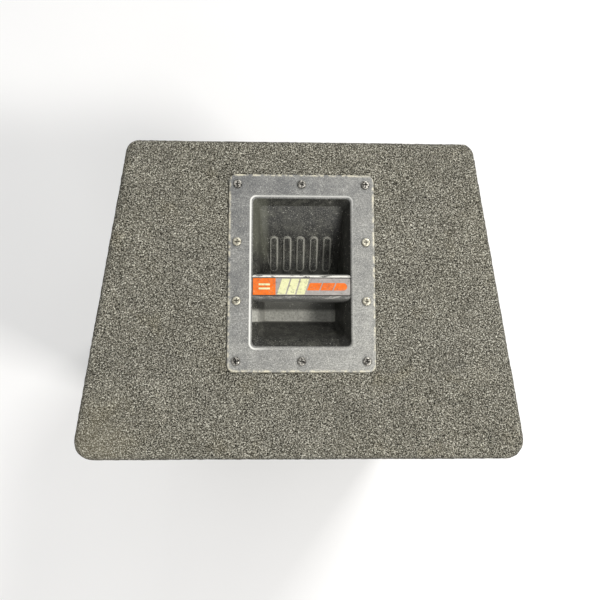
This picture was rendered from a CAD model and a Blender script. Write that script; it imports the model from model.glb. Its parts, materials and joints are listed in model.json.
"""The looks of a carpeted trapezoid stage cabinet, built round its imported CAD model, in metres."""

import json
from math import atan, cos, pi, radians, sin, sqrt, tan

import bpy
import numpy as np
from mathutils import Matrix, Vector, noise


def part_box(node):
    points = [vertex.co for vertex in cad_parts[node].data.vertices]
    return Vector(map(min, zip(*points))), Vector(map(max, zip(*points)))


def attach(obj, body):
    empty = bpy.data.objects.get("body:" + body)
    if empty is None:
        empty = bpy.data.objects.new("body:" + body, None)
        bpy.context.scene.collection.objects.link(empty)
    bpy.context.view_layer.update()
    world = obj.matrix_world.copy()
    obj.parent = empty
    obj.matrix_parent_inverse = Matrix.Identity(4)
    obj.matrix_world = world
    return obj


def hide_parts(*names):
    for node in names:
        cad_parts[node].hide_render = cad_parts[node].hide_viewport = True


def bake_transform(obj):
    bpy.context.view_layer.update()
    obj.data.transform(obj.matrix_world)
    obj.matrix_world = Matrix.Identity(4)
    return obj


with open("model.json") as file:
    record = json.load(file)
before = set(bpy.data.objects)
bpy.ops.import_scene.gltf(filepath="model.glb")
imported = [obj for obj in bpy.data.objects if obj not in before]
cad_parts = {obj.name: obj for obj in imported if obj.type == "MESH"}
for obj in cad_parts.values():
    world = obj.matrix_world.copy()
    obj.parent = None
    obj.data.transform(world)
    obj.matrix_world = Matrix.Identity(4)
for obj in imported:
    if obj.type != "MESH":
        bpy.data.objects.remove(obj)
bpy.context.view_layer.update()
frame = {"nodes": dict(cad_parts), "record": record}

# --- The cabinet's outside, as the CAD carpet has it ---------------------------------
carpet_low, carpet_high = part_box("carpet_wrap")
FRONT, BACK, BOTTOM, TOP = carpet_low.y, carpet_high.y, carpet_low.z, carpet_high.z
FRONT_HALF, BACK_HALF = 0.238, 0.190  # to the plan's corners before they are rounded
CORNER_R = (0.020, 0.020, 0.014, 0.014)
EDGE_R = 0.008
LIP, BACK_SEAM = 0.024, 0.022
CARPET_T, CUP_GAP, CUP_R, POLE_GAP = 0.0028, 0.001, 0.011, 0.001
DUSTY_CORNER = (-0.215, -0.155, TOP)
SIDE_SLOPE = (FRONT_HALF - BACK_HALF) / (BACK - FRONT)
SIDE_STRETCH = sqrt(1 + SIDE_SLOPE**2)

# --- The carpet's grid ---------------------------------------------------------------
GRID, CAP_ROWS, ARC_STEPS, EDGE_STEPS = 0.0030, 60, 8, 5
CUP_CLEAR, CUP_SNAP = 0.35 * GRID, 0.6 * GRID  # reach of the faces kept and the points moved by the cup
SAME_PLACE = 1e-6
SHARP_ANGLE = radians(42)
TUFT_SIZE, TUFT_HEIGHT = 0.0045, 0.0005
SWELL_SIZE, SWELL_HEIGHT = 0.060, 0.0003
SEAM_DIP, SEAM_REACH = 0.0010, 0.004

# --- The handle ----------------------------------------------------------------------
plate_low, plate_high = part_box("handle_dish")
HANDLE_Y = (plate_low.y + plate_high.y) / 2
PLATE_TOP = plate_high.z
PLATE_GAP, PLATE_R = 0.0004, 0.008
PLATE_HALF = (plate_high.x, (plate_high.y - plate_low.y) / 2)
MOUTH_HALF, MOUTH_R = (0.05325, 0.08075), 0.0045
DISH_FLOOR = PLATE_TOP - 0.062
DUST_FADES_IN, DUST_FADES_OUT, DUST_SLANT = (-0.0330, -0.0370), (-0.0485, -0.0470), 0.1
HANDLE_SCREW_ROW = 0.0635
bar_low, bar_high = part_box("handle_bar")
BAR_Y, BAR_GROOVE = (bar_low.y + bar_high.y) / 2, 0.0095

# --- The camera, lights and floor ----------------------------------------------------
CAMERA_AT, CAMERA_LOOK, LENS = (-0.0263, -0.0898, 1.383), (0.0356, 0.1229, -0.992), 39.0
AIM = Vector((0, 0, TOP))
LIGHTS = {  # name: (place, size, power, colour)
    "key": ((1.60, -0.90, 2.90), 0.5, 50, (1.0, 0.98, 0.95)),
    "second": ((1.10, 1.40, 3.00), 0.5, 36, (1.0, 0.99, 0.97)),
    "front": ((0.40, -2.80, 1.90), 1.2, 22, (1.0, 0.99, 0.97)),
    "rear": ((0.60, 2.80, 1.60), 1.6, 16, (0.97, 0.98, 1.0)),
}
WORLD_LIGHT = 0.50
FLOOR_HALF, FLOOR_Z = 9.0, -0.0003


# --- Mesh helpers --------------------------------------------------------------------


def stations(keys, step):
    """Values from the first key to the last, through every key, about step apart."""
    values = [keys[0]]
    for low, high in zip(keys, keys[1:]):
        count = max(1, round(abs(high - low) / step))
        values += [low + (high - low) * k / count for k in range(1, count + 1)]
    return values


TWENTIETHS = stations([0.0, 1.0], 0.05)


def rounded_loop(corners, radii, runs):
    """Points round a polygon with rounded corners; runs holds each side's shares from 0 to 1."""
    corners = [Vector(c) for c in corners]
    arcs = []
    for i, here in enumerate(corners):
        before = (corners[i - 1] - here).normalized()
        after = (corners[(i + 1) % len(corners)] - here).normalized()
        half = before.angle(after) / 2
        centre = here + (before + after).normalized() * radii[i] / sin(half)
        arm = here + before * radii[i] / tan(half) - centre
        turns = [(pi - 2 * half) * k / ARC_STEPS for k in range(ARC_STEPS + 1)]
        arcs.append([centre + Matrix.Rotation(turn, 2) @ arm for turn in turns])
    points = []
    for i, arc in enumerate(arcs):
        start, end = arc[-1], arcs[(i + 1) % len(arcs)][0]
        points += arc + [start.lerp(end, share) for share in runs[i][1:-1]]
    return np.array(points)


def rectangle(half_x, half_y, middle_y=0.0):
    """The corners of a rectangle, anticlockwise from the lower left."""
    low, high = middle_y - half_y, middle_y + half_y
    return [(-half_x, low), (half_x, low), (half_x, high), (-half_x, high)]


def new_piece(name, points, faces, body="cabinet"):
    mesh = bpy.data.meshes.new(name)
    mesh.from_pydata(np.asarray(points, float).tolist(), [], [list(map(int, f)) for f in faces])
    mesh.validate()
    mesh.shade_smooth()
    mesh.set_sharp_from_angle(angle=SHARP_ANGLE)
    piece = bpy.data.objects.new(name, mesh)
    bpy.context.scene.collection.objects.link(piece)
    if body:
        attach(piece, body)
    return piece


def dress(piece, material, replaces=()):
    """Gives a piece its material, and says which slot and CAD nodes it stands for."""
    piece.data.materials.clear()
    piece.data.materials.append(material)
    if replaces:
        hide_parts(*replaces)
    return piece


def vertex_normals(points, faces):
    """Unit normals of a quad mesh, averaged over the faces at each point."""
    a, b, c, d = (points[faces[:, k]] for k in range(4))
    across = np.cross(c - a, d - b)
    normals = np.zeros_like(points)
    for k in range(4):
        np.add.at(normals, faces[:, k], across)
    return normals / np.maximum(np.linalg.norm(normals, axis=1, keepdims=True), 1e-12)


def shell(points, normals, faces, thickness):
    """An open quad patch made solid: the patch, its back and a rim. Returns points and faces."""
    used, flat = np.unique(faces, return_inverse=True)
    faces = flat.reshape(-1, 4)
    outer = points[used]
    solid = np.concatenate([outer, outer - normals[used] * thickness])
    edges = np.concatenate([faces[:, [k, (k + 1) % 4]] for k in range(4)])
    _, first, uses = np.unique(np.sort(edges, axis=1), axis=0, return_index=True, return_counts=True)
    rim = edges[first[uses == 1]]
    count = len(used)
    rim_faces = np.column_stack([rim[:, 1], rim[:, 0], rim[:, 0] + count, rim[:, 1] + count])
    return solid, np.concatenate([faces, faces[:, ::-1] + count, rim_faces])


def ring_of(loops):
    """A closed ring from a closed series of closed loops, as points and faces."""
    loops = np.array(loops)
    rows, count = loops.shape[:2]
    index = np.arange(rows * count).reshape(rows, count)
    ahead, across = np.roll(index, -1, axis=0), np.roll(index, -1, axis=1)
    corner = np.roll(ahead, -1, axis=1)
    faces = np.stack([index, across, corner, ahead], axis=-1).reshape(-1, 4)
    return loops.reshape(-1, 3), faces


def joined(*parts):
    """Several (points, faces) solids as one."""
    points, faces, count = [], [], 0
    for part_points, part_faces in parts:
        points += [list(p) for p in part_points]
        faces += [[int(i) + count for i in face] for face in part_faces]
        count = len(points)
    return points, faces


def turned(profile, z, segments=128):
    """A ring turned about the line along Y at height z, from a closed profile of (radius, y)."""
    turns = [2 * pi * k / segments for k in range(segments)]
    return ring_of([[(r * cos(t), y, z + r * sin(t)) for t in turns] for r, y in profile])


# --- Material helpers ----------------------------------------------------------------


def rgb(colour):
    """A colour as three values; a grey may be given as one number."""
    return (colour,) * 3 if isinstance(colour, (int, float)) else colour


class Recipe:
    """One material. Its nodes read the object's own coordinates, so it moves with its piece."""

    def __init__(self, name, **values):
        self.material = bpy.data.materials.new(name)
        self.material.use_nodes = True
        self.nodes = self.material.node_tree.nodes
        self.shader = self.nodes["Principled BSDF"]
        self.place = self.node("TexCoord").outputs["Object"]
        for key, value in values.items():
            self.feed(self.shader.inputs[key.replace("_", " ")], value)

    def feed(self, socket, value):
        """Joins an output to a socket, or sets the socket's own value."""
        if isinstance(value, bpy.types.NodeSocket):
            self.material.node_tree.links.new(value, socket)
        elif socket.type == "RGBA":
            socket.default_value = (*rgb(value), 1.0)
        else:
            socket.default_value = value

    def node(self, kind, inputs=None, **settings):
        """Adds a node; inputs maps a socket's name or number to a value or an output."""
        made = self.nodes.new("ShaderNode" + kind)
        for key, value in settings.items():
            setattr(made, key, value)
        for key, value in (inputs or {}).items():
            self.feed(made.inputs[key], value)
        return made

    def stretched(self, scale, turn=(0, 0, 0), shift=(0, 0, 0)):
        """The coordinates, scaled, turned and shifted."""
        inputs = {"Vector": self.place, "Scale": scale, "Rotation": turn, "Location": shift}
        return self.node("Mapping", inputs).outputs["Vector"]

    def noise(self, size, detail=2.0, rough=0.5, warp=0.0, where=None):
        """Soft noise from 0 to 1, with blobs of about size."""
        inputs = {"Vector": where or self.place, "Scale": 1 / size, "Detail": detail,
                  "Roughness": rough, "Distortion": warp}
        return self.node("TexNoise", inputs).outputs[0]

    def cells(self, size, output="Distance", where=None, **settings):
        """Voronoi cells of about size."""
        inputs = {"Vector": where or self.place, "Scale": 1 / size}
        return self.node("TexVoronoi", inputs, **settings).outputs[output]

    def ramp(self, value, *stops):
        """Maps a value to greys or colours through (place, colour) stops."""
        made = self.node("ValToRGB", {"Fac": value})
        elements = made.color_ramp.elements
        while len(elements) < len(stops):
            elements.new(0.5)
        for element, (place, colour) in zip(elements, stops):
            element.position = place
            element.color = (*rgb(colour), 1.0)
        return made.outputs["Color"]

    def mix(self, share, a, b, kind="MIX"):
        """Blends two colours."""
        inputs = {0: share, 6: a, 7: b}
        return self.node("Mix", inputs, data_type="RGBA", blend_type=kind).outputs[2]

    def math(self, kind, a, b=0.0, c=0.0, clamp=False):
        """One step of arithmetic."""
        made = self.node("Math", {0: a, 1: b, 2: c}, operation=kind, use_clamp=clamp)
        return made.outputs[0]

    def times(self, a, b):
        """The product of two values."""
        return self.math("MULTIPLY", a, b)

    def axis(self, letter):
        """One of the object's own coordinates."""
        return self.node("SeparateXYZ", {0: self.place}).outputs[letter]

    def edges(self, radius, gain=4.0):
        """A mask that is 1 along sharp edges and fades over about radius."""
        bevel = self.node("Bevel", {"Radius": radius}, samples=4).outputs["Normal"]
        plain = self.node("NewGeometry").outputs["Normal"]
        dot = self.node("VectorMath", {0: bevel, 1: plain}, operation="DOT_PRODUCT").outputs["Value"]
        return self.math("MULTIPLY", self.math("SUBTRACT", 1.0, dot), gain, clamp=True)

    def span(self, value, low, high):
        """A value mapped to run from 0 at low to 1 at high."""
        return self.node("MapRange", {"Value": value, "From Min": low, "From Max": high}).outputs[0]

    def off_handle(self, half, radius):
        """How far a place lies outside a rounded rectangle on the handle, seen from above."""
        from_middle = self.math("ABSOLUTE", self.math("SUBTRACT", self.axis("Y"), HANDLE_Y))
        x = self.math("SUBTRACT", self.math("ABSOLUTE", self.axis("X")), half[0] - radius)
        y = self.math("SUBTRACT", from_middle, half[1] - radius)
        beyond = self.node("CombineXYZ", {0: self.math("MAXIMUM", x, 0.0), 1: self.math("MAXIMUM", y, 0.0)})
        outside = self.node("VectorMath", {0: beyond.outputs[0]}, operation="LENGTH").outputs["Value"]
        within = self.math("MINIMUM", self.math("MAXIMUM", x, y), 0.0)
        return self.math("SUBTRACT", self.math("ADD", outside, within), radius)

    def scratches(self, size, length, turn, width=0.012):
        """Thin broken lines that run one way."""
        where = self.stretched((1 / length, 1 / size, 1 / size), turn)
        lines = self.node("TexNoise", {"Vector": where, "Scale": 1.0, "Detail": 1.0}).outputs[0]
        near = self.math("COMPARE", lines, 0.5, width)
        gaps = self.ramp(self.noise(0.03), (0.50, 0.0), (0.58, 1.0))
        return self.times(near, gaps)

    def bump(self, height, distance, under=None):
        """A bumped normal; under is a normal to add to."""
        inputs = {"Height": height, "Distance": distance, "Strength": 1.0}
        if under is not None:
            inputs["Normal"] = under
        return self.node("Bump", inputs).outputs["Normal"]

    def finish(self, **values):
        """Feeds the shader's inputs and returns the material."""
        for key, value in values.items():
            self.feed(self.shader.inputs[key.replace("_", " ")], value)
        return self.material


# --- Materials -----------------------------------------------------------------------


def carpet_material():
    """Heather felt: dark, mid and pale fibres in small curls, with dusty and yellowed areas."""
    made = Recipe("carpet", Specular_IOR_Level=0.10, Sheen_Weight=0.06, Sheen_Roughness=0.6)
    curls = made.noise(0.00124, detail=2.0, rough=0.55, warp=0.8)
    fibres = made.ramp(curls, (0.35, (0.005, 0.004, 0.003)), (0.44, (0.094, 0.088, 0.065)),
                       (0.51, (0.285, 0.270, 0.214)), (0.58, (0.590, 0.565, 0.470)),
                       (0.65, (1.000, 0.980, 0.850)))
    pits = made.ramp(made.cells(0.0019), (0.10, 1.0), (0.62, 0.55))
    dusty = made.mix(made.ramp(made.noise(0.085, 3.0), (0.35, 0.0), (0.70, 0.26)), fibres,
                     (0.330, 0.315, 0.250), "SOFT_LIGHT")
    yellow = made.ramp(made.noise(0.045, 2.0, where=made.stretched((1, 1, 1), shift=(3, 1, 2))),
                       (0.60, 0.0), (0.74, 0.28))
    colour = made.mix(yellow, made.mix(1.0, dusty, pits, "MULTIPLY"), (0.46, 0.40, 0.24), "SOFT_LIGHT")
    from_corner = made.node("VectorMath", {0: made.place, 1: DUSTY_CORNER}, operation="DISTANCE")
    near = made.math("MULTIPLY_ADD", made.noise(0.020, 4.0, 0.7), 0.10, from_corner.outputs["Value"])
    colour = made.mix(made.ramp(near, (0.060, 0.22), (0.110, 0.0)), colour, (0.36, 0.32, 0.21))
    from_end = made.span(made.axis("Z"), TOP - 0.016, TOP)
    worn_edge = made.ramp(from_end, (0.20, 1.0), (0.50, 0.68), (0.72, 0.68), (0.92, 1.0))
    colour = made.mix(1.0, colour, worn_edge, "MULTIPLY")
    wear = made.noise(0.028, 5.0, 0.75, where=made.stretched((1, 1, 1), shift=(7, 4, 9)))
    colour = made.mix(1.0, colour, made.ramp(wear, (0.32, 0.72), (0.68, 1.0)), "MULTIPLY")
    hairs = made.noise(0.0011, detail=2.0, rough=0.7, warp=2.0)
    normal = made.bump(curls, 0.0016, made.bump(hairs, 0.0005))
    return made.finish(Base_Color=colour, Roughness=0.92, Normal=normal)


def dish_inside(made, speckle, height, off_middle):
    """The colour inside the dish: dark and streaked, with settled dust and pale ribs."""
    x = made.axis("X")
    colour = made.ramp(speckle, (0.32, (0.008, 0.008, 0.007)), (0.54, (0.026, 0.026, 0.023)),
                       (0.70, (0.230, 0.228, 0.200)))
    streaks = made.ramp(made.noise(0.010, 4.0, 0.7), (0.46, 0.0), (0.72, 0.50))
    colour = made.mix(streaks, colour, (0.130, 0.130, 0.106))
    on_floor = made.span(height, DISH_FLOOR + 0.006, DISH_FLOOR + 0.002)
    colour = made.mix(made.times(on_floor, 0.6), colour, (0.150, 0.150, 0.132))
    dark_wall = made.times(made.span(x, 0.0350, 0.0420), 0.65)
    colour = made.mix(dark_wall, colour, (0.012, 0.012, 0.010))

    above_floor = made.math("SUBTRACT", height, DISH_FLOOR)
    slanted = made.math("MULTIPLY_ADD", above_floor, DUST_SLANT, off_middle)
    band = made.times(made.span(slanted, *DUST_FADES_IN), made.span(slanted, *DUST_FADES_OUT))
    on_left = made.span(x, -0.0385, -0.0410)
    settled = made.times(made.math("MAXIMUM", on_floor, on_left), band)
    powder = made.ramp(made.noise(0.0022, 5.0, 0.8), (0.36, (0.290, 0.287, 0.252)),
                       (0.64, (0.640, 0.636, 0.570)))
    colour = made.mix(made.times(settled, 0.8), colour, powder)
    pale_wall = made.times(made.span(x, -0.0340, -0.0390), made.span(off_middle, 0.0160, 0.0340))
    colour = made.mix(made.times(pale_wall, 0.40), colour, (0.150, 0.154, 0.116))

    by_ribs = made.times(made.span(made.math("ABSOLUTE", x), 0.0375, 0.0355),
                         made.span(off_middle, 0.0520, 0.0480))
    in_dish = made.span(height, PLATE_TOP - 0.012, PLATE_TOP - 0.020)
    ridges = made.times(made.edges(0.0024, 7.0), made.times(by_ribs, in_dish))
    return made.mix(made.times(ridges, 0.9), colour, (0.520, 0.514, 0.450))


def dish_face(made, speckle, off_middle):
    """The flange's colour: scuffed, dustier to the front and right, with worn rims and nicks."""
    clean = made.ramp(speckle, (0.30, (0.062, 0.063, 0.063)), (0.58, (0.168, 0.170, 0.166)),
                      (0.74, (0.420, 0.420, 0.400)))
    dusty = made.ramp(speckle, (0.30, (0.140, 0.140, 0.130)), (0.58, (0.365, 0.362, 0.334)),
                      (0.74, (0.760, 0.752, 0.695)))
    across = made.math("MULTIPLY_ADD", made.axis("X"), 2.6, 0.42)
    corner = made.math("MULTIPLY_ADD", made.axis("Y"), -2.6, across)
    dust = made.math("MULTIPLY_ADD", made.noise(0.016, 5.0, 0.75), 1.6, corner)
    face = made.mix(made.ramp(made.span(dust, 0.60, 1.80), (0.10, 0.0), (0.90, 1.0)), clean, dusty)

    broken = made.ramp(made.noise(0.0060, 5.0, 0.8), (0.46, 0.0), (0.56, 1.0))
    border = made.span(made.off_handle(PLATE_HALF, PLATE_R), -0.0032, -0.0012)
    face = made.mix(made.times(border, broken), face, (0.66, 0.62, 0.48))
    to_left = made.times(made.axis("X"), -1 / MOUTH_HALF[0])
    to_back = made.times(off_middle, 0.8 / MOUTH_HALF[1])
    bright_side = made.ramp(made.math("MAXIMUM", to_left, to_back), (0.62, 0.10), (0.80, 0.45),
                            (0.98, 1.0))
    lip = made.ramp(made.span(made.off_handle(MOUTH_HALF, MOUTH_R), -0.0005, 0.0045),
                    (0.20, 0.0), (0.28, 1.0), (0.50, 1.0), (0.66, 0.0))
    face = made.mix(made.times(lip, bright_side), face, (0.72, 0.72, 0.68))
    nicks = made.math("ADD", made.scratches(0.0014, 0.024, (0, 0, 0.6), 0.009),
                      made.scratches(0.0016, 0.030, (0, 0, -0.9), 0.009), clamp=True)
    return made.mix(made.times(nicks, 0.5), face, (0.58, 0.58, 0.54))


def dish_material():
    """Worn moulded plastic: a scuffed flange with dusty rims, and a dark dish with a dusty floor."""
    made = Recipe("dish_plastic", Specular_IOR_Level=0.4)
    height = made.axis("Z")
    speckle = made.noise(0.0011, 3.0, 0.7)
    off_middle = made.math("SUBTRACT", made.axis("Y"), HANDLE_Y)
    inside = dish_inside(made, speckle, height, off_middle)
    on_face = made.span(height, PLATE_TOP - 0.0022, PLATE_TOP - 0.0010)
    colour = made.mix(on_face, inside, dish_face(made, speckle, off_middle))
    gathered = made.ramp(made.noise(0.018, 3.0), (0.44, 0.1), (0.58, 1.0))
    dots = made.ramp(made.cells(0.0028), (0.08, 0.9), (0.20, 0.0))
    colour = made.mix(made.times(dots, gathered), colour, (0.50, 0.49, 0.43))
    roughness = made.ramp(made.noise(0.012, 4.0, 0.65), (0.30, 0.34), (0.70, 0.55))
    grain = made.bump(made.noise(0.00045, 2.0), 0.00006, made.bump(speckle, 0.00012))
    return made.finish(Base_Color=colour, Roughness=roughness, Normal=grain)


def bar_material():
    """The bar's plastic: dark grey, its back ridge scuffed pale, with a dirty line by the label."""
    made = Recipe("bar_plastic", Specular_IOR_Level=0.4)
    speckle = made.noise(0.0012, 3.0, 0.7)
    colour = made.ramp(speckle, (0.30, (0.050, 0.050, 0.047)), (0.55, (0.110, 0.110, 0.102)),
                       (0.72, (0.250, 0.245, 0.225)))
    off_middle = made.math("SUBTRACT", made.axis("Y"), BAR_Y)
    on_top = made.span(made.axis("Z"), bar_high.z - 0.0030, bar_high.z - 0.0012)
    patches = made.noise(0.0040, 4.0, 0.75, where=made.stretched((0.28, 1, 1)))
    back = made.times(made.span(off_middle, BAR_GROOVE, BAR_GROOVE + 0.0008),
                      made.ramp(patches, (0.40, 0.0), (0.46, 1.0)))
    front = made.times(made.span(off_middle, -BAR_GROOVE, -BAR_GROOVE - 0.0008),
                       made.ramp(patches, (0.52, 0.0), (0.60, 0.35)))
    scuffs = made.times(made.math("ADD", back, front, clamp=True), on_top)
    colour = made.mix(scuffs, colour, (0.84, 0.82, 0.75))
    in_groove = made.math("COMPARE", made.math("ABSOLUTE", off_middle), BAR_GROOVE, 0.0005)
    colour = made.mix(made.times(in_groove, 0.85), colour, (0.010, 0.010, 0.009))
    roughness = made.ramp(made.noise(0.006, 3.0), (0.35, 0.30), (0.65, 0.50))
    return made.finish(Base_Color=colour, Roughness=roughness, Normal=made.bump(speckle, 0.0001))


def label_material(name, dark, light, worn):
    """Printed film: an ink with rubbed and scratched places."""
    made = Recipe(name, Specular_IOR_Level=0.5)
    ink = made.ramp(made.noise(0.008, 3.0), (0.30, dark), (0.70, light))
    chips = made.ramp(made.noise(0.0016, 3.0, 0.75), (0.60, 0.0), (0.68, 0.8))
    lines = made.scratches(0.0010, 0.012, (0, 0, 0.35), 0.012)
    colour = made.mix(made.math("MAXIMUM", chips, made.times(lines, 0.8)), ink, worn)
    grime = made.ramp(made.noise(0.0030, 4.0, 0.75, where=made.stretched((1, 1, 1), shift=(5, 2, 1))),
                      (0.54, 0.0), (0.66, 0.55))
    colour = made.mix(grime, colour, (0.10, 0.09, 0.07))
    roughness = made.ramp(made.noise(0.004, 2.0), (0.30, 0.28), (0.70, 0.46))
    return made.finish(Base_Color=colour, Roughness=roughness,
                       Normal=made.bump(made.noise(0.0012), 0.00005))


def moulded_material(name, dark, light, edge, roughness=(0.40, 0.60), grain=0.0010, depth=0.00012):
    """Moulded plastic, rubber, paint or cement: mottled, grained, with rubbed edges."""
    made = Recipe(name, Specular_IOR_Level=0.45)
    speckle = made.noise(grain, 3.0, 0.65)
    clouds = made.ramp(made.noise(0.03, 4.0, 0.6), (0.35, 0.0), (0.75, 0.55))
    colour = made.mix(clouds, made.ramp(speckle, (0.3, dark), (0.7, light)), light)
    rubbed = made.times(made.edges(0.0012),
                        made.ramp(made.noise(0.006, 3.0, 0.7), (0.42, 0.0), (0.62, 0.8)))
    colour = made.mix(rubbed, colour, edge)
    gloss = made.ramp(made.noise(0.010, 3.0), (0.3, roughness[0]), (0.7, roughness[1]))
    return made.finish(Base_Color=colour, Roughness=gloss, Normal=made.bump(speckle, depth))


def metal_material(name, dark, light, stain, roughness=(0.25, 0.45), stretch=(1, 1, 1), size=0.0008):
    """Bare or plated metal: fine drawn lines, stains and brighter edges."""
    made = Recipe(name, Metallic=1.0)
    lines = made.noise(size, 3.0, 0.7, where=made.stretched(stretch))
    colour = made.ramp(lines, (0.3, dark), (0.7, light))
    stains = made.ramp(made.noise(0.007, 4.0, 0.7), (0.50, 0.0), (0.66, 0.75))
    colour = made.mix(stains, colour, stain)
    colour = made.mix(made.times(made.edges(0.0008), 0.6), colour, light)
    gloss = made.ramp(made.noise(0.004, 3.0), (0.3, roughness[0]), (0.7, roughness[1]))
    return made.finish(Base_Color=colour, Roughness=gloss, Normal=made.bump(lines, 0.00005))


def screw_material():
    """Zinc screws: the two middle rows bright and creamy, the end rows tarnished dark."""
    made = Recipe("pan_screws", Metallic=0.75)
    off_centre = made.math("ABSOLUTE", made.math("SUBTRACT", made.axis("Y"), HANDLE_Y))
    dark_rows = made.math("GREATER_THAN", off_centre, HANDLE_SCREW_ROW)
    patches = made.noise(0.0022, 3.0, 0.7)
    bright = made.ramp(patches, (0.34, (0.16, 0.14, 0.10)), (0.56, (0.68, 0.65, 0.53)))
    tarnished = made.ramp(patches, (0.42, (0.022, 0.020, 0.017)), (0.60, (0.52, 0.50, 0.45)))
    colour = made.mix(dark_rows, bright, tarnished)
    dirt = made.span(made.axis("Z"), PLATE_TOP + 0.0019, PLATE_TOP + 0.0010)
    colour = made.mix(made.times(dirt, 0.9), colour, (0.015, 0.014, 0.012))
    gloss = made.ramp(made.noise(0.001, 2.0), (0.3, 0.25), (0.7, 0.55))
    return made.finish(Base_Color=colour, Roughness=gloss, Normal=made.bump(patches, 0.00012))


def woven_material(name, dark, light, thread, roughness, specular=0.2, depth=0.0002):
    """Plain-weave cloth seen along Y, with uneven threads."""
    made = Recipe(name, Specular_IOR_Level=specular)
    waves = []
    for letter in "XZ":
        turns = made.times(made.axis(letter), 2 * pi / thread)
        waves.append(made.math("SINE", turns))
    weave = made.times(waves[0], waves[1])
    height = made.math("MULTIPLY_ADD", weave, 0.35, made.noise(thread * 1.7, 3.0, 0.7))
    colour = made.ramp(height, (0.25, dark), (0.85, light))
    stains = made.ramp(made.noise(0.025, 3.0), (0.40, 0.0), (0.75, 0.45))
    colour = made.mix(stains, colour, dark)
    return made.finish(Base_Color=colour, Roughness=roughness, Normal=made.bump(height, depth))


def fibrous_material(name, dark, light, size, depth, stretch=(1, 1, 1)):
    """Loose or pressed fibres, as in wadding, paper pulp or card."""
    made = Recipe(name, Specular_IOR_Level=0.15)
    strands = made.noise(size, 4.0, 0.75, warp=2.0, where=made.stretched(stretch))
    colour = made.ramp(strands, (0.30, dark), (0.72, light))
    colour = made.mix(made.ramp(made.noise(0.04, 3.0), (0.35, 0.0), (0.75, 0.35)), colour, dark)
    return made.finish(Base_Color=colour, Roughness=0.9, Normal=made.bump(strands, depth))


def wood_material():
    """Birch plywood: long grain, paler and darker streaks, small flecks."""
    made = Recipe("board_wood", Specular_IOR_Level=0.3)
    streaks = made.noise(0.012, 4.0, 0.6, warp=0.6, where=made.stretched((1, 1, 0.06)))
    colour = made.ramp(streaks, (0.30, (0.34, 0.22, 0.11)), (0.50, (0.52, 0.37, 0.21)),
                       (0.72, (0.66, 0.50, 0.31)))
    flecks = made.ramp(made.cells(0.0030, where=made.stretched((1, 1, 0.15))), (0.10, 0.6), (0.16, 0.0))
    colour = made.mix(flecks, colour, (0.22, 0.13, 0.06))
    return made.finish(Base_Color=colour, Roughness=0.62, Normal=made.bump(streaks, 0.0002))


def board_material():
    """A lacquered circuit board with paler copper tracks under its green mask."""
    made = Recipe("circuit_board", Specular_IOR_Level=0.5, Coat_Weight=0.4)
    tracks = made.cells(0.012, feature="DISTANCE_TO_EDGE", distance="MANHATTAN")
    on_track = made.ramp(tracks, (0.05, 1.0), (0.09, 0.0))
    base = made.ramp(made.noise(0.006, 3.0), (0.3, (0.012, 0.085, 0.035)), (0.7, (0.020, 0.130, 0.055)))
    colour = made.mix(on_track, base, (0.060, 0.260, 0.090))
    return made.finish(Base_Color=colour, Roughness=0.35, Normal=made.bump(on_track, 0.00005))


def floor_material():
    """A pale, faintly clouded studio floor."""
    made = Recipe("floor", Specular_IOR_Level=0.1)
    clouds = made.noise(0.6, 4.0)
    colour = made.ramp(clouds, (0.3, 0.885), (0.7, (0.915, 0.915, 0.912)))
    return made.finish(Base_Color=colour, Roughness=0.9)


# In the tables below, one number in a colour's place is a grey.
BLACK, SOOT, DUST = 0.012, 0.030, (0.22, 0.21, 0.19)
MOULDED = {  # slot: (dark, light, rubbed edge, roughness, grain, depth)
    "foam_rubber": (BLACK, SOOT, 0.08, (0.7, 0.95), 0.0007, 0.0003),
    "grille_steel": (BLACK, SOOT, (0.20, 0.20, 0.19), (0.34, 0.52), 0.0006, 0.00005),
    "black_plastic": (BLACK, SOOT, (0.16, 0.16, 0.15), (0.40, 0.60), 0.0010, 0.00012),
    "black_screws": (BLACK, SOOT, (0.45, 0.44, 0.40), (0.28, 0.45), 0.0008, 0.00005),
    "basket_paint": (BLACK, SOOT, (0.25, 0.25, 0.24), (0.30, 0.48), 0.0009, 0.00006),
    "ferrite": ((0.030, 0.030, 0.032), (0.075, 0.075, 0.078), DUST, (0.5, 0.75), 0.0015, 0.0002),
    "horn_plastic": (BLACK, 0.034, DUST, (0.38, 0.58), 0.0008, 0.00010),
    "cup_plastic": (BLACK, (0.036, 0.036, 0.035), DUST, (0.40, 0.62), 0.0009, 0.00015),
    "socket_plastic": (BLACK, (0.028, 0.028, 0.032), DUST, (0.22, 0.38), 0.0010, 0.00005),
    "baffle_paint": (0.008, 0.026, 0.10, (0.55, 0.80), 0.0016, 0.0003),
    "foot_rubber": (BLACK, (0.040, 0.039, 0.037), DUST, (0.62, 0.85), 0.0012, 0.0002),
    "resistor_ceramic": ((0.55, 0.54, 0.50), (0.74, 0.73, 0.69), (0.30, 0.28, 0.24), (0.7, 0.9),
                         0.0008, 0.0003),
    "capacitor_film": ((0.48, 0.36, 0.03), (0.66, 0.52, 0.06), (0.80, 0.72, 0.40), (0.22, 0.35),
                       0.0020, 0.0001),
    "lead_rubber": (BLACK, 0.035, SOOT, (0.45, 0.65), 0.0009, 0.0001),
}
METALS = {  # slot: (dark, light, stain, roughness, stretch, line size)
    "zinc_steel": ((0.36, 0.35, 0.31), (0.70, 0.69, 0.64), (0.20, 0.17, 0.12), (0.30, 0.50)),
    "aluminium": ((0.60, 0.60, 0.62), (0.84, 0.84, 0.86), 0.50, (0.22, 0.36)),
    "copper": ((0.40, 0.16, 0.08), (0.80, 0.40, 0.22), (0.25, 0.09, 0.04), (0.25, 0.40),
               (0.15, 1, 1), 0.0009),
}
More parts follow.
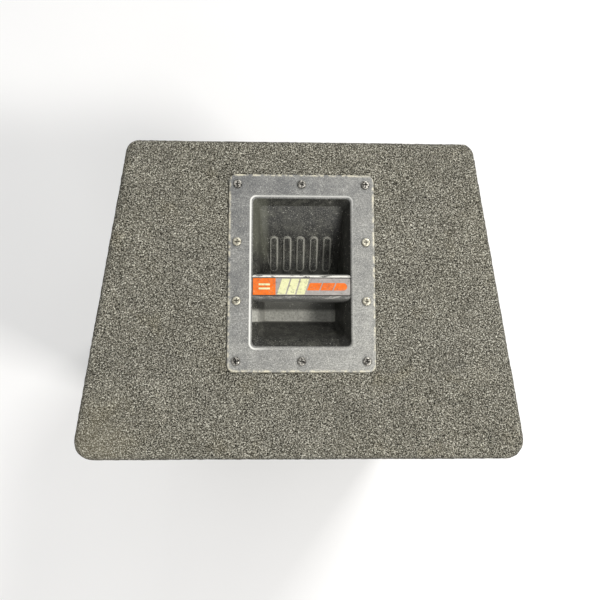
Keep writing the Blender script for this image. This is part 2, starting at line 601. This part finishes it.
FIBROUS = {  # slot: (dark, light, strand size, depth)
    "wadding": ((0.36, 0.36, 0.34), (0.74, 0.74, 0.71), 0.004, 0.002),
    "gasket_card": ((0.05, 0.045, 0.04), (0.14, 0.13, 0.11), 0.002, 0.0002),
    "cone_paper": ((0.020, 0.020, 0.021), (0.075, 0.075, 0.074), 0.003, 0.0003),
}
WOVEN = {  # slot: (dark, light, thread, roughness, specular)
    "doped_cloth": (BLACK, (0.050, 0.048, 0.045), 0.0011, 0.38, 0.5),
    "spider_cloth": ((0.24, 0.15, 0.05), (0.56, 0.42, 0.20), 0.0010, 0.8),
}
LABEL_INKS = {  # material: (dark, light, worn)
    "label": ((0.27, 0.25, 0.235), (0.36, 0.33, 0.31), (0.50, 0.48, 0.44)),
    "label_orange": ((0.64, 0.115, 0.003), (0.76, 0.155, 0.006), (0.62, 0.30, 0.15)),
    "label_cream": ((0.62, 0.62, 0.34), (0.72, 0.72, 0.42), (0.46, 0.45, 0.37)),
}


def all_materials():
    """One material for each of the record's slots, and the label's two prints."""
    made = {"carpet": carpet_material(), "dish_plastic": dish_material(), "bar_plastic": bar_material(),
            "pan_screws": screw_material(), "board_wood": wood_material(),
            "circuit_board": board_material()}
    families = ((moulded_material, MOULDED), (metal_material, METALS), (fibrous_material, FIBROUS),
                (woven_material, WOVEN), (label_material, LABEL_INKS))
    for recipe, table in families:
        for name, facts in table.items():
            made[name] = recipe(name, *facts)
    return made


# --- Carpet --------------------------------------------------------------------------


def half_width(y, inset=0.0):
    """Half the cabinet's width at y, with each slanted side moved in by inset."""
    return FRONT_HALF - (y - FRONT) * SIDE_SLOPE - inset * SIDE_STRETCH


def run_shares(half_run, key_half):
    """Shares along a straight run, with grid lines at plus and minus key_half from its middle."""
    return [(x + half_run) / (2 * half_run)
            for x in stations([-half_run, -key_half, key_half, half_run], GRID)]


LEAN = atan(SIDE_SLOPE)
FRONT_RUN = FRONT_HALF - CORNER_R[0] / tan((pi / 2 - LEAN) / 2)
BACK_RUN = BACK_HALF - CORNER_R[2] / tan((pi / 2 + LEAN) / 2)
FRONT_MOUTH, SEAM_HALF = half_width(FRONT, LIP), half_width(BACK, BACK_SEAM)
SIDE_SHARES = stations([0.0, 1.0], GRID / (BACK - FRONT))
RUNS = [run_shares(FRONT_RUN, FRONT_MOUTH), SIDE_SHARES, run_shares(BACK_RUN, SEAM_HALF), SIDE_SHARES]
ARC_STARTS = np.cumsum([0] + [ARC_STEPS + len(run) - 1 for run in RUNS])


def outline(inset):
    """The cabinet's rounded plan, moved in by inset."""
    front, back = FRONT + inset, BACK - inset
    x_front, x_back = half_width(front, inset), half_width(back, inset)
    corners = [(-x_front, front), (x_front, front), (x_back, back), (-x_back, back)]
    return rounded_loop(corners, [r - inset for r in CORNER_R], RUNS)


def level(loop, z):
    """A plan loop as points at one height."""
    return np.column_stack([loop, np.full(len(loop), z)])


def cap_rows(hole, z):
    """Rows over one end, from a hole's outline out to where the edge starts to round."""
    edge = outline(EDGE_R)
    return [level(hole + (edge - hole) * k / CAP_ROWS, z) for k in range(CAP_ROWS + 1)]


def edge_rows(z, inward):
    """Rows round an end's edge, from the end to the wall; inward is +1 at the bottom."""
    turns = [pi / 2 * k / EDGE_STEPS for k in range(1, EDGE_STEPS + 1)]
    return [level(outline(EDGE_R * (1 - sin(t))), z + inward * EDGE_R * (1 - cos(t))) for t in turns]


def plate_hole():
    """The outline of the hole that the handle's flange lies in."""
    corners = rectangle(PLATE_HALF[0] + PLATE_GAP, PLATE_HALF[1] + PLATE_GAP, HANDLE_Y)
    return rounded_loop(corners, [PLATE_R + PLATE_GAP] * 4, RUNS)


def pole_hole():
    """The outline of the hole round the pole socket's flange."""
    low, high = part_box("pole_socket")
    centre = np.array([0.0, (low.y + high.y) / 2])
    arms = outline(EDGE_R) - centre
    return centre + arms / np.linalg.norm(arms, axis=1, keepdims=True) * (high.x + POLE_GAP)


def hole_distance(points, box, gap, radius):
    """Signed distance, seen from the back, to a rounded rectangle round a CAD box, and its way out."""
    centre = np.array([(box[0].x + box[1].x) / 2, (box[0].z + box[1].z) / 2])
    half = np.array([(box[1].x - box[0].x) / 2, (box[1].z - box[0].z) / 2]) + gap
    away = points[:, [0, 2]] - centre
    over = np.abs(away) - (half - radius)
    outside = np.maximum(over, 0)
    distance = np.linalg.norm(outside, axis=1) + np.minimum(over.max(axis=1), 0) - radius
    flat = np.eye(2)[over.argmax(axis=1)]
    way = np.where(outside.any(axis=1, keepdims=True), outside, flat) * np.sign(away)
    return distance, way / np.maximum(np.linalg.norm(way, axis=1, keepdims=True), 1e-9)


def carpet_skin():
    """The whole outer surface as a grid, with its faces sorted into pieces."""
    wall = stations([BOTTOM + EDGE_R, BOTTOM + BACK_SEAM, BOTTOM + LIP, TOP - LIP, TOP - BACK_SEAM,
                     TOP - EDGE_R], GRID)
    rows = cap_rows(pole_hole(), BOTTOM) + edge_rows(BOTTOM, 1)
    wall_start = len(rows) - 1
    rows += [level(outline(0.0), z) for z in wall[1:]]
    wall_end = len(rows) - 1
    rows += (edge_rows(TOP, -1)[::-1] + cap_rows(plate_hole(), TOP)[::-1])[1:]
    grid = np.array(rows)
    count, around = grid.shape[:2]
    index = np.arange(count * around).reshape(count, around)
    ahead = np.roll(index, -1, axis=1)
    faces = np.stack([index[:-1], ahead[:-1], ahead[1:], index[1:]], axis=-1).reshape(-1, 4)
    row, column = np.divmod(np.arange(len(faces)), around)
    points = grid.reshape(-1, 3)
    centre = points[faces].mean(axis=1)
    on_wall = (row >= wall_start) & (row < wall_end)
    z_in = np.abs(centre[:, 2] - (BOTTOM + TOP) / 2)
    half_length = (TOP - BOTTOM) / 2
    first, last = ARC_STARTS[0] + ARC_STEPS // 2, ARC_STARTS[1] + ARC_STEPS // 2
    at_front = on_wall & (column >= first) & (column < last)
    at_back = on_wall & (column >= ARC_STARTS[2] + ARC_STEPS) & (column < ARC_STARTS[3])
    mouth = at_front & (np.abs(centre[:, 0]) < FRONT_MOUTH) & (z_in < half_length - LIP)
    between_seams = at_back & (np.abs(centre[:, 0]) < SEAM_HALF)
    patch = between_seams & (z_in < half_length - BACK_SEAM)
    belt_end = between_seams & ~patch
    upper = centre[:, 2] > (BOTTOM + TOP) / 2
    sides = on_wall & ~at_front & ~between_seams
    groups = {
        "carpet_top": (row >= wall_end) | (belt_end & upper),
        "carpet_bottom": (row < wall_start) | (belt_end & ~upper),
        "carpet_front": at_front & ~mouth,
        "carpet_left": sides & (centre[:, 0] < 0),
        "carpet_right": sides & (centre[:, 0] > 0),
        "carpet_back_patch": patch,
    }
    pieces = {name: faces[mask] for name, mask in groups.items()}
    return points, pieces, mouth_edge(points, index)


def mouth_edge(points, index):
    """The grid points round the front opening, anticlockwise as seen from the front."""
    start, end = ARC_STARTS[0] + ARC_STEPS, ARC_STARTS[1]
    columns = np.arange(start, end + 1)
    x = points[index[index.shape[0] // 2, columns], 0]
    keep = columns[np.abs(x) < FRONT_MOUTH + SAME_PLACE]
    z = points[index[:, keep[0]], 2]
    facing = np.abs(points[index[:, keep[0]], 1] - FRONT) < SAME_PLACE
    rows = np.flatnonzero(facing & (z > BOTTOM + LIP - SAME_PLACE) & (z < TOP - LIP + SAME_PLACE))
    low, high = rows[0], rows[-1]
    return np.concatenate([index[low, keep[:-1]], index[rows[:-1], keep[-1]],
                           index[high, keep[:0:-1]], index[rows[:0:-1], keep[0]]])


def turn_in(points, edge):
    """The strip of carpet that turns in from the front opening to the baffle."""
    depths = stations([FRONT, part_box("front_baffle")[0].y], GRID)[1:]
    rings = [edge]
    added = []
    for k, y in enumerate(depths):
        ring = points[edge].copy()
        ring[:, 0] *= half_width(y, LIP) / FRONT_MOUTH
        ring[:, 1] = y
        added.append(ring)
        rings.append(len(points) + k * len(edge) + np.arange(len(edge)))
    rings = np.array(rings)
    ahead = np.roll(rings, -1, axis=1)
    faces = np.stack([rings[:-1], ahead[:-1], ahead[1:], rings[1:]], axis=-1).reshape(-1, 4)
    return np.concatenate([points, *added]), faces


def tufted(points, normals):
    """The skin raised and lowered: fine tufts, slow swells, and a dip along the back seam."""
    heights = []
    for point in points:
        place = Vector(point)
        tuft = noise.noise(place / TUFT_SIZE)
        swell = noise.noise(place / SWELL_SIZE)
        heights.append(TUFT_HEIGHT * tuft + SWELL_HEIGHT * swell)
    heights = np.array(heights)
    from_seam = np.maximum(np.abs(points[:, 0]) - SEAM_HALF,
                           np.abs(points[:, 2] - (BOTTOM + TOP) / 2) - ((TOP - BOTTOM) / 2 - BACK_SEAM))
    near = np.clip(1 - np.abs(from_seam) / SEAM_REACH, 0, 1) * (points[:, 1] > BACK - 1e-4)
    heights -= SEAM_DIP * near**2
    return points + normals * heights[:, None]


def make_carpet(material):
    """Builds the carpet's pieces in place of its two CAD solids."""
    points, pieces, edge = carpet_skin()
    points, inward = turn_in(points, edge)
    pieces["carpet_front"] = np.concatenate([pieces["carpet_front"], inward])
    patch = pieces["carpet_back_patch"]
    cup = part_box("input_cup")
    distance, way = hole_distance(points, cup, CUP_GAP, CUP_R)
    patch = patch[distance[patch].max(axis=1) > CUP_CLEAR]
    inside = np.unique(patch[distance[patch] < CUP_SNAP])
    points[inside[:, None], [0, 2]] -= way[inside] * distance[inside, None]
    pieces["carpet_back_patch"] = patch
    normals = vertex_normals(points, np.concatenate(list(pieces.values())))
    rough = tufted(points, normals)
    for name, faces in pieces.items():
        piece = new_piece(name, *shell(rough, normals, faces, CARPET_T))
        dress(piece, material, ["carpet_back" if name == "carpet_back_patch" else "carpet_wrap"])


# --- Grille --------------------------------------------------------------------------

HOLE_PITCH, HOLE_R, RIM_WIDTH, RIM_BEND = 0.0080, 0.0031, 0.011, 0.003
GRILLE_T, GRILLE_R, GRILLE_LEAST_R, SHEET_SINK, BEND_STEPS = 0.0015, 0.015, 0.002, 0.0001, 4
SCREW_CLEAR = 0.0095
SCREWS_RIGHT = ((0.186, 0.052), (0.190, 0.440), (0.186, 0.654))
GRILLE_SCREWS = [(side * x, z) for side in (-1, 1) for x, z in SCREWS_RIGHT]


def grille_loop(low, high, inset, y):
    """The grille's rounded outline at one depth, moved in by inset."""
    half_height = (high.z - low.z) / 2 - inset
    corners = rectangle(high.x - inset, half_height, (low.z + high.z) / 2)
    loop = rounded_loop(corners, [max(GRILLE_R - inset, GRILLE_LEAST_R)] * 4, [TWENTIETHS] * 4)
    return np.column_stack([loop[:, 0], np.full(len(loop), y), loop[:, 1]])


def grille_tray(low, high):
    """The grille's plain margin, its bent edge and its side, as one closed ring."""
    front, back = low.y, high.y
    profile = [(RIM_WIDTH, front)]
    turns = [pi / 2 * k / BEND_STEPS for k in range(BEND_STEPS + 1)]
    profile += [(RIM_BEND * (1 - sin(t)), front + RIM_BEND * (1 - cos(t))) for t in turns]
    profile += [(0.0, back), (GRILLE_T, back)]
    bend = RIM_BEND - GRILLE_T
    profile += [(GRILLE_T + bend * (1 - sin(t)), front + GRILLE_T + bend * (1 - cos(t)))
                for t in reversed(turns)]
    profile.append((RIM_WIDTH, front + GRILLE_T))
    return ring_of([grille_loop(low, high, inset, y) for inset, y in profile][::-1])


def grille_sheet(low, high):
    """The perforated sheet: hexagon cells with holes, plain along the margin and under screws."""
    y = low.y + SHEET_SINK
    reach = HOLE_PITCH / sqrt(3)
    x_end, z_low, z_high = high.x - RIM_WIDTH, low.z + RIM_WIDTH, high.z - RIM_WIDTH
    turns = [pi / 2 + pi / 3 * k for k in range(6)]
    corner = [np.array([cos(t), 0.0, sin(t)]) for t in turns]
    row_step = reach * 1.5
    rows, columns = int((z_high - z_low) / row_step), int(2 * x_end / HOLE_PITCH)
    points, faces = [], []
    for i in range(rows + 1):
        for j in range(columns + 1 - i % 2):
            x = (j - columns / 2 + 0.5 * (i % 2)) * HOLE_PITCH
            z = (z_low + z_high) / 2 + (i - rows / 2) * row_step
            centre = np.array([x, y, z])
            start = len(points)
            points += [centre + c * reach for c in corner]
            margin = min(x_end - abs(x), z - z_low, z_high - z)
            to_screw = min(sqrt((x - sx) ** 2 + (z - sz) ** 2) for sx, sz in GRILLE_SCREWS)
            if margin < reach or to_screw < SCREW_CLEAR:
                faces += [[start, start + k, start + k + 1, start + k + 2] for k in (1, 3)]
                continue
            points += [centre + c * HOLE_R for c in corner]
            for k in range(6):
                after = (k + 1) % 6
                faces.append([start + k, start + after, start + 6 + after, start + 6 + k])
    points = np.array(points)
    _, first, back = np.unique(np.round(points, 6), axis=0, return_index=True, return_inverse=True)
    faces = back.reshape(-1)[np.array(faces)][:, ::-1]
    outward = np.tile([0.0, -1.0, 0.0], (len(first), 1))
    return shell(points[first], outward, faces, GRILLE_T)


def make_grille(material):
    """Builds the perforated grille in place of its plain CAD tray."""
    low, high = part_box("grille")
    piece = new_piece("grille_mesh", *joined(grille_sheet(low, high), grille_tray(low, high)))
    dress(piece, material, ["grille"])


# --- Moving woofer parts -------------------------------------------------------------

SURROUND_R, SURROUND_T, SURROUND_WAVE, SURROUND_ROLLS = (0.158, 0.176), 0.0008, 0.0032, 3
SPIDER_R, SPIDER_T, SPIDER_WAVE, SPIDER_ROLLS = (0.038, 0.093), 0.0007, 0.0019, 7
TINSEL_R, TINSEL_SPREAD, TINSEL_BOW, TINSEL_STEPS = 0.001, 0.007, 0.009, 12
TINSEL_BELOW, TINSEL_ON_CONE = 0.001, 0.080  # under the lead's top, and from the cone's middle


def radial_blend(piece, centre_z, inner, outer):
    """Follows the cone at the inner radius and the cabinet at the outer one."""
    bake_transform(piece)


def corrugated(inner, outer, y, wave, rolls, thickness):
    """The closed profile of a thin ring with whole waves between two radii."""
    steps = 14 * rolls
    shares = [k / steps for k in range(steps + 1)]
    front = [(inner + (outer - inner) * s, y - wave * sin(pi * rolls * s)) for s in shares]
    return front + [(r, depth + thickness) for r, depth in reversed(front)]


def tube(points, radius, sides=8):
    """A round closed tube along a few points, as points and faces."""
    points = [Vector(p) for p in points]
    rings = []
    for i, here in enumerate(points):
        ahead = (points[min(i + 1, len(points) - 1)] - points[max(i - 1, 0)]).normalized()
        side = Vector((1, 0, 0))
        up = ahead.cross(side)
        rings.append([here + radius * (cos(2 * pi * k / sides) * side + sin(2 * pi * k / sides) * up)
                      for k in range(sides)])
    made = [tuple(p) for ring in rings for p in ring]
    faces = [(i * sides + k, i * sides + (k + 1) % sides, (i + 1) * sides + (k + 1) % sides,
              (i + 1) * sides + k) for i in range(len(rings) - 1) for k in range(sides)]
    faces += [tuple(range(sides))[::-1], tuple(len(made) - sides + k for k in range(sides))]
    return made, faces


def make_surround(material):
    """Builds the cloth surround: three rolls between the cone's edge and the rim."""
    low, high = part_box("woofer_surround")
    centre_z, rim = (low.z + high.z) / 2, high.y - SURROUND_T
    rolls = corrugated(*SURROUND_R, rim, SURROUND_WAVE, SURROUND_ROLLS, SURROUND_T)
    half = len(rolls) // 2
    profile = rolls[:half] + [(high.x, rim), (high.x, high.y)] + rolls[half:]
    piece = new_piece("surround_rolls", *turned(profile, centre_z), body=None)
    dress(piece, material, ["woofer_surround"])
    radial_blend(piece, centre_z, *SURROUND_R)


def make_spider(material):
    """Builds the corrugated spider that centres the voice coil."""
    low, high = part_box("woofer_spider")
    centre_z, middle = (low.z + high.z) / 2, (low.y + high.y - SPIDER_T) / 2
    profile = corrugated(*SPIDER_R, middle, SPIDER_WAVE, SPIDER_ROLLS, SPIDER_T)
    piece = new_piece("spider_rolls", *turned(profile, centre_z), body=None)
    dress(piece, material, ["woofer_spider"])
    radial_blend(piece, centre_z, *SPIDER_R)


def make_tinsel(material):
    """Builds the two bowed leads from the terminals to the cone."""
    low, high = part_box("woofer_tinsel_leads")
    cone_low, cone_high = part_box("woofer_surround")
    start = Vector((0, high.y, high.z - TINSEL_BELOW))
    end = Vector((0, low.y, (cone_low.z + cone_high.z) / 2 + TINSEL_ON_CONE))
    leads = []
    for x in (-TINSEL_SPREAD, TINSEL_SPREAD):
        shares = [k / TINSEL_STEPS for k in range(TINSEL_STEPS + 1)]
        bow = [start.lerp(end, t) + Vector((x, -TINSEL_BOW * sin(pi * t), 0)) for t in shares]
        leads.append(tube(bow, TINSEL_R))
    piece = new_piece("tinsel_braids", *joined(*leads), body=None)
    dress(piece, material, ["woofer_tinsel_leads"])
    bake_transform(piece)


# --- Label, dish corners, gasket and wadding -----------------------------------------

CORNER_POINTS = (  # tip, foot on the slope, foot on the side wall, hidden point: (x, y, depth)
    (0.0462, 0.0725, 0.0148), (0.0325, 0.0062, 0.0624), (0.0402, -0.0190, 0.0624),
    (0.0412, 0.0085, 0.0626))
GASKET_INNER, GASKET_BULGE = (0.059, 0.0865), 0.0006
PAD_T, PAD_EDGE_T, PAD_GRID, PAD_OUT = 0.018, 0.002, (40, 60), 0.0215
PAD_LUMPS, PAD_LUMP_SHARE, PAD_CROWN = (5, 9), 0.14, (6, 8)  # across and up
PRINT_T = 0.00015
BLOCK_WIDTH, BLOCK_BAR, BLOCK_BAR_WIDTH, BLOCK_BAR_PITCH = 0.0240, (0.0060, -0.0032), (0.012, 0.002), 0.0044
SLANT_START, SLANT_PITCH, SLANT_WIDTH, SLANT_LEAN, SLANT_MARGIN = 0.0256, 0.0102, 0.0086, 0.0052, 0.0006
STRIPE_START, STRIPE_MARGIN, STRIPE_HALF, STRIPE_GAP, STRIPE_LEAN = 0.0590, 0.0020, 0.0040, 0.0012, 0.0016


def print_slab(outline_xy, z):
    """A thin raised print with the given outline, as points and faces."""
    count = len(outline_xy)
    points = [(x, y, z) for x, y in outline_xy] + [(x, y, z + PRINT_T) for x, y in outline_xy]
    faces = [tuple(range(count))[::-1], tuple(range(count, 2 * count))]
    faces += [(k, (k + 1) % count, (k + 1) % count + count, k + count) for k in range(count)]
    return points, faces


def label_stripe(start, end, middle, z):
    """The stripe: three slanted blocks with gaps, the last one with a round end."""
    third = (end - start) / 3
    turns = [-pi / 2 + pi * k / 10 for k in range(11)]
    blocks = []
    for k in range(3):
        left = start + third * k
        right = left + third - STRIPE_GAP
        corners = [(left - STRIPE_LEAN, middle - STRIPE_HALF), (right - STRIPE_LEAN, middle - STRIPE_HALF),
                   (right + STRIPE_LEAN, middle + STRIPE_HALF), (left + STRIPE_LEAN, middle + STRIPE_HALF)]
        if k == 2:
            corners[1:3] = [(right - STRIPE_HALF + STRIPE_HALF * cos(t), middle + STRIPE_HALF * sin(t))
                            for t in turns]
        blocks.append(print_slab(corners, z))
    return blocks


def make_label_print(materials):
    """Generic blocks and slanted bars on the handle's label, with no lettering."""
    low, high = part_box("handle_label")
    left, y_low, y_high, z = low.x, low.y, high.y, high.z
    middle = (y_low + y_high) / 2
    block = [(left, y_low), (left + BLOCK_WIDTH, y_low), (left + BLOCK_WIDTH, y_high), (left, y_high)]
    stripe = label_stripe(left + STRIPE_START, high.x - STRIPE_MARGIN, middle, z)
    orange = new_piece("label_orange", *joined(print_slab(block, z), *stripe))
    dress(orange, materials["label_orange"])
    bars = []
    y_foot, y_head = y_low + SLANT_MARGIN, y_high - SLANT_MARGIN
    for k in range(3):
        foot = left + SLANT_START + SLANT_PITCH * k
        bars.append(print_slab([(foot, y_foot), (foot + SLANT_WIDTH, y_foot),
                                (foot + SLANT_WIDTH + SLANT_LEAN, y_head), (foot + SLANT_LEAN, y_head)], z))
    for k in range(2):
        x, y = left + BLOCK_BAR[0], middle + BLOCK_BAR[1] + BLOCK_BAR_PITCH * k
        x_end, y_end = x + BLOCK_BAR_WIDTH[0], y + BLOCK_BAR_WIDTH[1]
        bars.append(print_slab([(x, y), (x_end, y), (x_end, y_end), (x, y_end)], z + PRINT_T * 0.8))
    dress(new_piece("label_cream", *joined(*bars)), materials["label_cream"])


def make_dish_corners(material):
    """Builds the facets that cut the corners between the dish's slope and its side walls.

    Each is a slim solid with one open face. Its tip and feet lie just under the dish's surface.
    """
    tip, slope_foot, wall_foot, hidden = CORNER_POINTS
    solids = []
    for hand in (-1, 1):
        feet = [slope_foot, wall_foot][::hand]
        points = [(hand * x, HANDLE_Y + y, PLATE_TOP - depth) for x, y, depth in (tip, *feet, hidden)]
        solids.append((points, [(0, 1, 2), (0, 2, 3), (0, 3, 1), (1, 3, 2)]))
    dress(new_piece("dish_corners", *joined(*solids)), material)


def make_gasket(material):
    """Builds the foam gasket under the handle's flange, with bulged edges."""
    low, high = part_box("handle_gasket")
    middle, half_t = (low.z + high.z) / 2, (high.z - low.z) / 2

    def edge(half_x, half_y, outward, turn):
        """The outline of one edge of the gasket, part of the way round its bulge."""
        pulled_in = outward * GASKET_BULGE * (1 - cos(turn))
        corners = rectangle(half_x - pulled_in, half_y - pulled_in, HANDLE_Y)
        return level(rounded_loop(corners, [PLATE_R] * 4, [TWENTIETHS] * 4), middle + half_t * sin(turn))

    turns = [pi / 2 * (k / 3 - 1) for k in range(7)]
    outer = [edge(high.x, (high.y - low.y) / 2, 1, turn) for turn in turns]
    inner = [edge(*GASKET_INNER, -1, turn) for turn in reversed(turns)]
    piece = new_piece("gasket_foam", *ring_of(outer + inner))
    dress(piece, material, ["handle_gasket"])


def pad_faces(index):
    """The faces of a pad: its back, its front and its rim, for a grid of back points."""
    quads = np.stack([index[:-1, :-1], index[:-1, 1:], index[1:, 1:], index[1:, :-1]], -1).reshape(-1, 4)
    ring = np.concatenate([index[0, :-1], index[:-1, -1], index[-1, :0:-1], index[:0:-1, 0]])
    after = np.roll(ring, -1)
    rim = np.column_stack([ring, after, after + index.size, ring + index.size])
    return np.concatenate([quads[:, ::-1], quads + index.size, rim])


def make_wadding(material):
    """Builds the two damping pads: crowned and tufted towards the inside, flat on the boards."""
    low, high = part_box("damping_pads")
    across, up = PAD_GRID
    inward = np.array(Vector((-1, -SIDE_SLOPE, 0)).normalized())
    faces = pad_faces(np.arange((up + 1) * (across + 1)).reshape(up + 1, across + 1))
    for hand, name in ((-1, "wadding_left"), (1, "wadding_right")):
        back, front = [], []
        for i in range(up + 1):
            for j in range(across + 1):
                s, t = j / across, i / up
                y, z = low.y + (high.y - low.y) * s, low.z + (high.z - low.z) * t
                back.append(np.array((half_width(y, PAD_OUT), y, z)))
                round_off = (1 - abs(2 * s - 1) ** PAD_CROWN[0]) * (1 - abs(2 * t - 1) ** PAD_CROWN[1])
                bumps = noise.noise(Vector((s * PAD_LUMPS[0], t * PAD_LUMPS[1], hand)))
                lump = 1 - PAD_LUMP_SHARE + PAD_LUMP_SHARE * bumps
                crown = PAD_EDGE_T + (PAD_T - 2 * PAD_EDGE_T) * sqrt(max(round_off, 0)) * lump
                front.append(back[-1] + crown * inward)
        solid = np.array(back + front)
        solid[:, 0] *= hand
        piece = new_piece(name, solid, faces if hand < 0 else faces[:, ::-1])
        dress(piece, material, ["damping_pads"])


# --- The scene -----------------------------------------------------------------------


def dress_cad_nodes(materials):
    """Gives every CAD node the material of its slot."""
    for part in frame["record"]["subparts"]:
        node = frame["nodes"].get(part["node"])
        if node:
            dress(node, materials[part["material_slot"]])


def make_floor():
    """A wide pale floor just under the feet."""
    mesh = bpy.data.meshes.new("floor")
    corners = [(x, y, FLOOR_Z) for x, y in rectangle(FLOOR_HALF, FLOOR_HALF)]
    mesh.from_pydata(corners, [], [(0, 1, 2, 3)])
    mesh.materials.append(floor_material())
    floor = bpy.data.objects.new("floor", mesh)
    bpy.context.scene.collection.objects.link(floor)


def make_lights():
    """Soft studio light: a pale world and four area lights aimed at the handle end."""
    world = bpy.data.worlds.new("studio")
    world.use_nodes = True
    world.node_tree.nodes["Background"].inputs["Color"].default_value = (1.0, 1.0, 1.0, 1.0)
    world.node_tree.nodes["Background"].inputs["Strength"].default_value = WORLD_LIGHT
    bpy.context.scene.world = world
    for name, (place, size, power, colour) in LIGHTS.items():
        data = bpy.data.lights.new(name, "AREA")
        data.size, data.energy, data.color = size, power, colour
        lamp = bpy.data.objects.new(name, data)
        lamp.location = place
        lamp.rotation_euler = (AIM - Vector(place)).to_track_quat("-Z", "Y").to_euler()
        bpy.context.scene.collection.objects.link(lamp)


def make_camera():
    """A camera above the handle end, with its top towards the back of the cabinet."""
    data = bpy.data.cameras.new("camera")
    data.lens = LENS
    camera = bpy.data.objects.new("camera", data)
    look = Vector(CAMERA_LOOK).normalized()
    right = look.cross(Vector((0, 1, 0))).normalized()
    axes = Matrix((right, right.cross(look), -look)).transposed().to_4x4()
    camera.matrix_world = Matrix.Translation(CAMERA_AT) @ axes
    bpy.context.scene.collection.objects.link(camera)
    bpy.context.scene.camera = camera


materials = all_materials()
make_camera()
make_lights()
make_floor()
dress_cad_nodes(materials)
make_carpet(materials["carpet"])
make_grille(materials["grille_steel"])
make_surround(materials["doped_cloth"])
make_spider(materials["spider_cloth"])
make_tinsel(materials["copper"])
make_label_print(materials)
make_dish_corners(materials["dish_plastic"])
make_gasket(materials["foam_rubber"])
make_wadding(materials["wadding"])
bpy.context.scene.view_settings.view_transform = "Standard"
